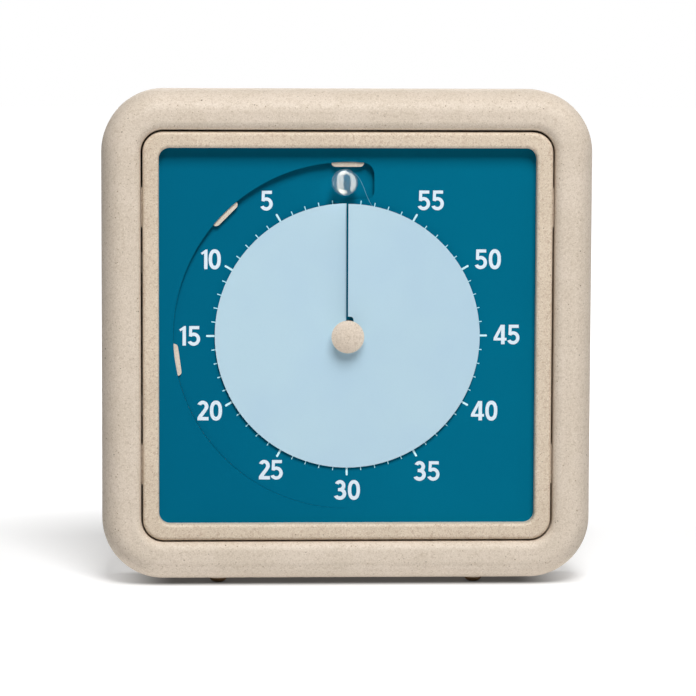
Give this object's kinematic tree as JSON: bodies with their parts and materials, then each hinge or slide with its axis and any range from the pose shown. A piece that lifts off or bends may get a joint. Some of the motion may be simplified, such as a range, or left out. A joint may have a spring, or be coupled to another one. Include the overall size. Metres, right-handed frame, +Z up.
{
  "type": "visual countdown timer",
  "caption": "Square desk timer whose coloured film disc winds away behind a numbered dial as the set time runs out.",
  "frame": {"origin": "middle of the case's width and depth, on the surface that the feet stand on", "axes": "+Z up, the dial faces -Y, +X to the right as the dial is read"},
  "size_m": [0.1906, 0.042, 0.1924],
  "materials": {
    "case_plastic": "speckled fibre-filled moulding, satin",
    "bezel_plastic": "speckled fibre-filled moulding, satin",
    "tray_plastic": "speckled fibre-filled moulding, satin",
    "cap_plastic": "speckled fibre-filled moulding, satin",
    "foot_rubber": "soft bumper rubber",
    "dial_sheet": "printed matt film",
    "disc_film": "printed matt film",
    "clear_film": "clear film",
    "clear_acrylic": "polished clear acrylic",
    "white_plastic": "moulded acetal",
    "black_plastic": "fine moulded texture",
    "steel": "turned",
    "screw_steel": "zinc plated",
    "brass": "turned",
    "magnet": "sintered",
    "soft_iron": "stamped",
    "copper_wire": "enamelled winding",
    "board": "solder mask",
    "cell_wrap": "plain wrap",
    "contact_plate": "nickel plated spring steel"
  },
  "bodies": {
    "case": {"front_case": "case_plastic", "rear_cover": "case_plastic", "hanger_plate": "contact_plate", "hanger_rivets": "screw_steel", "feet": "foot_rubber", "bezel_frame": "bezel_plastic", "dial_face": "dial_sheet", "dial_tray": "tray_plastic", "hub_bush": "brass", "movement_housing": "black_plastic", "movement_cover": "black_plastic", "stator": "soft_iron", "coil_bobbin": "black_plastic", "coil_winding": "copper_wire", "circuit_board": "board", "quartz_crystal": "steel", "control_chip": "black_plastic", "buzzer": "brass", "battery_cell": "cell_wrap", "contact_positive": "contact_plate", "contact_negative": "contact_plate", "switch_body": "black_plastic", "case_screws": "screw_steel", "tray_screws": "screw_steel", "movement_screws": "screw_steel", "cover_screws": "screw_steel"},
    "hub": {"spindle": "steel", "centre_wheel": "white_plastic", "clutch_spring": "brass", "hub_boss": "white_plastic", "hub_cap": "cap_plastic"},
    "disc": {"time_disc": "disc_film", "knob_tab": "clear_film", "set_knob": "clear_acrylic"},
    "third_set": {"third_wheel": "white_plastic", "third_arbor": "steel"},
    "second_set": {"second_wheel": "white_plastic", "second_arbor": "steel"},
    "rotor_set": {"rotor_pinion": "white_plastic", "rotor_magnet": "magnet", "rotor_arbor": "steel"},
    "door": {"battery_door": "case_plastic"},
    "slider": {"switch_slider": "black_plastic"}
  },
  "joints": [
    {"name": "disc_turn", "type": "hinge", "parent": "case", "child": "hub", "pos_m": [0, -0.0142, 0.09715], "axis": [0, 1, 0], "range_deg": [0, 360]},
    {"name": "disc_draw", "type": "slide", "parent": "hub", "child": "disc", "axis": [0, 1, 0], "range_m": [0, 0.0032]},
    {"name": "third_turn", "type": "hinge", "parent": "case", "child": "third_set", "pos_m": [0.012, 0.0018, 0.11793], "axis": [0, 1, 0], "range_deg": [-1440, 0]},
    {"name": "second_turn", "type": "hinge", "parent": "case", "child": "second_set", "pos_m": [0.02473, 0.0018, 0.10521], "axis": [0, 1, 0], "range_deg": [0, 5760]},
    {"name": "rotor_turn", "type": "hinge", "parent": "case", "child": "rotor_set", "pos_m": [0.02062, 0.0018, 0.09393], "axis": [0, 1, 0], "range_deg": [-17280, 0]},
    {"name": "door_hinge", "type": "hinge", "parent": "case", "child": "door", "pos_m": [0, 0.0199, 0.03625], "axis": [-1, 0, 0], "range_deg": [0, 90]},
    {"name": "alert_slide", "type": "slide", "parent": "case", "child": "slider", "axis": [1, 0, 0], "range_m": [0, 0.004]}
  ],
  "couplings": [
    {"joint": "disc_draw", "follows": "disc_turn", "m_per_rad": 0.0005093},
    {"joint": "third_turn", "follows": "disc_turn", "ratio": -4},
    {"joint": "second_turn", "follows": "disc_turn", "ratio": 16},
    {"joint": "rotor_turn", "follows": "disc_turn", "ratio": -48}
  ]
}
